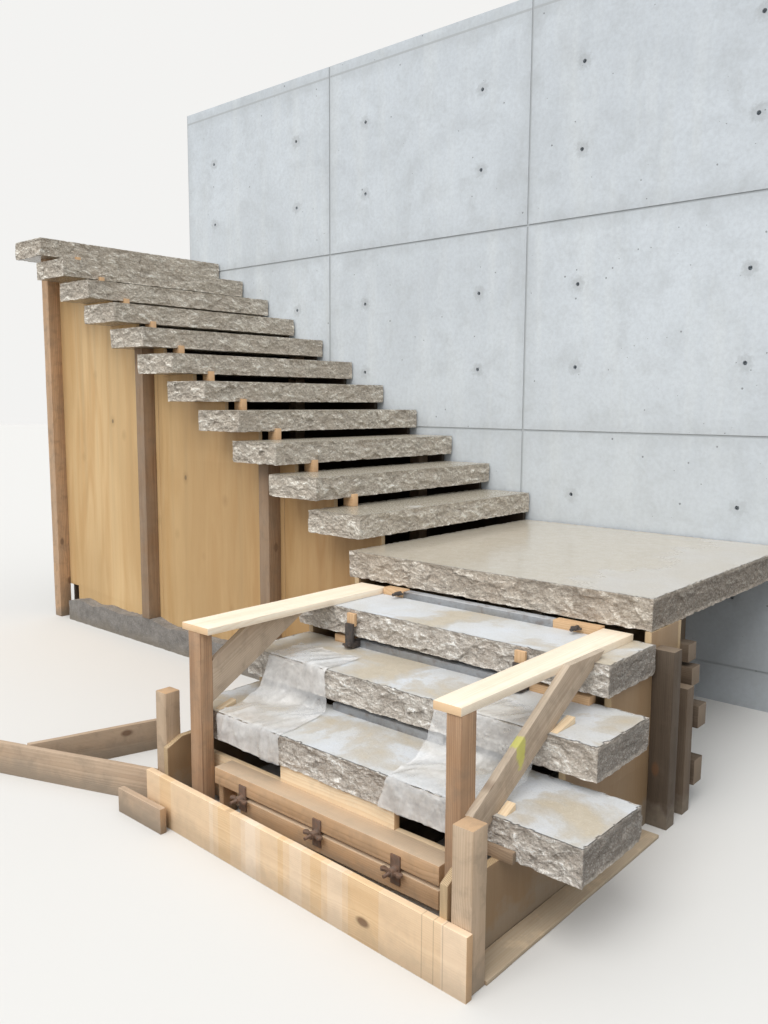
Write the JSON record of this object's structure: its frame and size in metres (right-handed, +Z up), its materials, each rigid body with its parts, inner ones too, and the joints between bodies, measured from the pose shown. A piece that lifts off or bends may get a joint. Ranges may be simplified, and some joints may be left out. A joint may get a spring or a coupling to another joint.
{
  "type": "outdoor stone stair with landing, on its timber formwork",
  "caption": "Quarter-turn outdoor stair of rock-faced stone treads and a stone landing, set against a concrete wall and standing on its timber formwork.",
  "frame": {"origin": "middle of the whole footprint, on the ground that the posts and the wall stand on", "axes": "+X along the wall towards the lower flight's side, +Y into the wall, +Z up"},
  "size_m": [6.84, 3.41, 4.033],
  "materials": {
    "granite": "rock-faced sides, sawn and partly wet tops",
    "wall_concrete": "fair-faced cast concrete",
    "plinth_concrete": "rough cast concrete",
    "form_plywood": "yellow three-ply form panel",
    "orange_timber": "planed, orange-brown",
    "fresh_timber": "sawn, pale",
    "weathered_timber": "sawn, weathered grey-brown",
    "galvanised_tube": "galvanised",
    "rusty_steel": "rusty",
    "clear_film": "translucent sheet"
  },
  "bodies": {
    "root": {"retaining_wall": "wall_concrete", "form_plinth": "plinth_concrete", "upper_tread_01": "granite", "upper_tread_02": "granite", "upper_tread_03": "granite", "upper_tread_04": "granite", "upper_tread_05": "granite", "upper_tread_06": "granite", "upper_tread_07": "granite", "upper_tread_08": "granite", "upper_tread_09": "granite", "upper_tread_10": "granite", "upper_tread_11": "granite", "landing_slab": "granite", "lower_tread_1": "granite", "lower_tread_2": "granite", "lower_tread_3": "granite", "tread_spacers": "orange_timber", "outer_form_panels": "form_plywood", "outer_form_posts": "weathered_timber", "inner_form_panels": "form_plywood", "inner_form_posts": "weathered_timber", "landing_props": "weathered_timber", "right_side_form": "form_plywood", "left_side_form": "form_plywood", "rear_form": "form_plywood", "rear_walers": "weathered_timber", "right_form_posts": "weathered_timber", "middle_bearers": "weathered_timber", "front_form": "fresh_timber", "front_walers": "orange_timber", "front_ties": "rusty_steel", "corner_posts": "weathered_timber", "kick_board": "fresh_timber", "edging_boards": "fresh_timber", "sole_plank": "fresh_timber", "rail_posts": "weathered_timber", "rail_boards": "fresh_timber", "rail_braces": "weathered_timber", "riser_tubes": "galvanised_tube", "tube_blocks": "orange_timber", "tube_clamps": "rusty_steel", "left_film": "clear_film", "right_film": "clear_film", "stone_wedges": "fresh_timber"}
  },
  "joints": []
}
